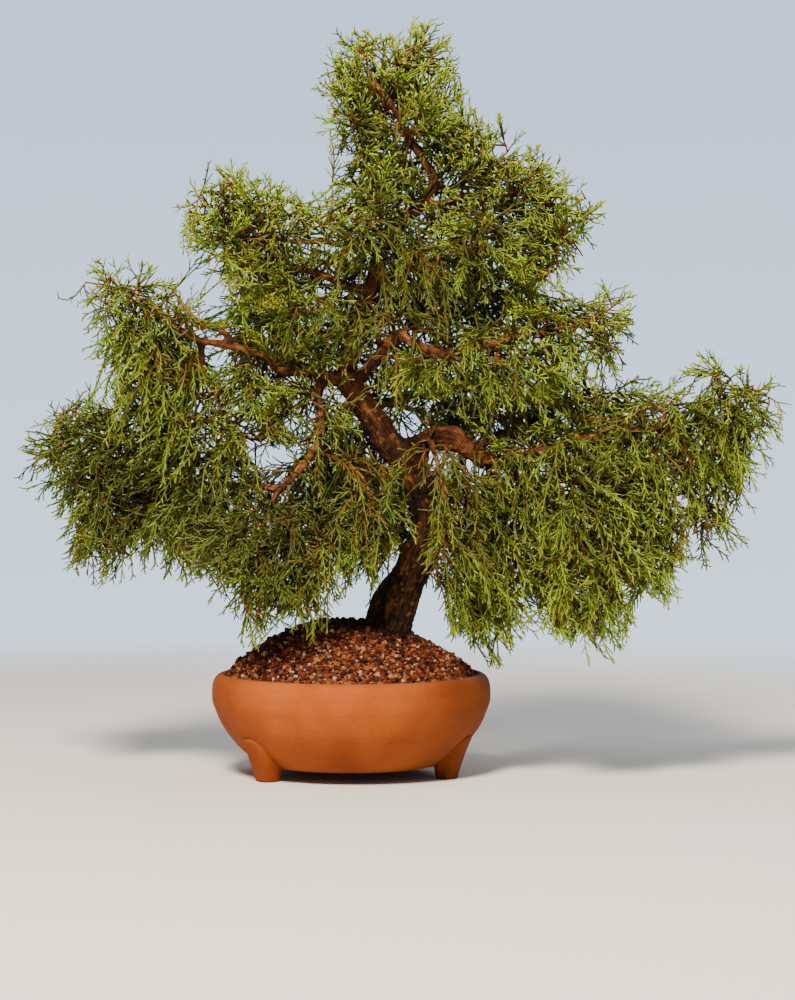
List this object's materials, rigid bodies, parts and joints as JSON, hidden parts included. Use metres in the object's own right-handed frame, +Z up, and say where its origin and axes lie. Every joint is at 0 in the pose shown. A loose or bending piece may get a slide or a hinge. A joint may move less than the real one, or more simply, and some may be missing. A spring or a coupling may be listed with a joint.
{
  "type": "drooping juniper bonsai",
  "caption": "Drooping juniper bonsai with hanging whip-like foliage and a leaning, twisted trunk, planted in a mound of grit in a round unglazed terracotta pot on tongue-shaped feet.",
  "frame": {"origin": "On the ground, under the middle of the bounding box of the whole plant and pot. The pot's own axis stands 42 mm to -X and 33 mm to -Y of it, because the branches reach further to the right and to the back.", "axes": "+X to the right as seen from the front, +Y from front to back, +Z up"},
  "size_m": [0.7662, 0.3442, 0.75],
  "materials": {
    "terracotta": "matt unglazed terracotta",
    "grit": "matt angular grit",
    "bark": "rough fibrous bark",
    "foliage": "satin green scale leaves",
    "mesh": "matt plastic mesh"
  },
  "bodies": {
    "root": {"pot": "terracotta", "drainage_screen": "mesh", "soil": "grit", "wood": "bark", "spray_apex_1": "foliage", "spray_apex_2": "foliage", "spray_apex_3": "foliage", "spray_apex_4": "foliage", "spray_apex_5": "foliage", "spray_apex_6": "foliage", "spray_apex_7": "foliage", "spray_apex_8": "foliage", "spray_apex_9": "foliage", "spray_upper_right_1": "foliage", "spray_upper_right_2": "foliage", "spray_upper_right_3": "foliage", "spray_upper_right_4": "foliage", "spray_upper_left_1": "foliage", "spray_upper_left_2": "foliage", "spray_upper_left_3": "foliage", "spray_upper_left_4": "foliage", "spray_upper_left_5": "foliage", "spray_upper_left_6": "foliage", "spray_upper_left_7": "foliage", "spray_middle_left_1": "foliage", "spray_middle_left_2": "foliage", "spray_middle_left_3": "foliage", "spray_middle_left_4": "foliage", "spray_middle_left_5": "foliage", "spray_middle_left_6": "foliage", "spray_lower_left_1": "foliage", "spray_lower_left_2": "foliage", "spray_lower_left_3": "foliage", "spray_lower_left_4": "foliage", "spray_lower_left_5": "foliage", "spray_lower_left_6": "foliage", "spray_lower_left_7": "foliage", "spray_centre_1": "foliage", "spray_centre_2": "foliage", "spray_centre_3": "foliage", "spray_centre_4": "foliage", "spray_centre_5": "foliage", "spray_centre_6": "foliage", "spray_middle_right_1": "foliage", "spray_middle_right_2": "foliage", "spray_middle_right_3": "foliage", "spray_middle_right_4": "foliage", "spray_middle_right_5": "foliage", "spray_middle_right_6": "foliage", "spray_right_1": "foliage", "spray_right_2": "foliage", "spray_right_3": "foliage", "spray_right_4": "foliage", "spray_right_5": "foliage", "spray_right_6": "foliage", "spray_right_7": "foliage", "spray_right_8": "foliage", "spray_back_1": "foliage", "spray_back_2": "foliage"}
  },
  "joints": []
}
